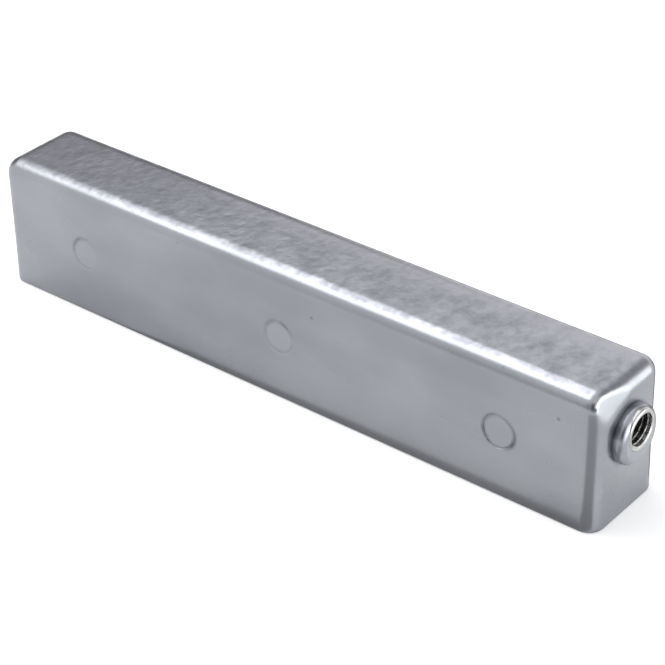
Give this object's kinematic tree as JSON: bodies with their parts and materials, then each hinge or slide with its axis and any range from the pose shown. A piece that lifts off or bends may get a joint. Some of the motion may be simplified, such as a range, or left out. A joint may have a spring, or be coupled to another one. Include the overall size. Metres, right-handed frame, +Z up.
{
  "type": "sacrificial anode",
  "caption": "Rectangular zinc bar anode with rounded edges and a threaded steel bush standing out of a round collar at each end, for bolting between two brackets.",
  "frame": {"origin": "under the middle of the bar, on the plane its flat underside rests on", "axes": "+X along the bar towards the near end's bush, +Z up, -Y out of the long side with the three ring marks"},
  "size_m": [0.207, 0.028, 0.0388],
  "materials": {
    "cast_zinc": "bare cast zinc alloy, satin, smooth sides and a scuffed rough top",
    "plated_steel": "bright plated steel, turned"
  },
  "bodies": {
    "root": {"anode_block": "cast_zinc", "near_end_bush": "plated_steel", "far_end_bush": "plated_steel"}
  },
  "joints": []
}
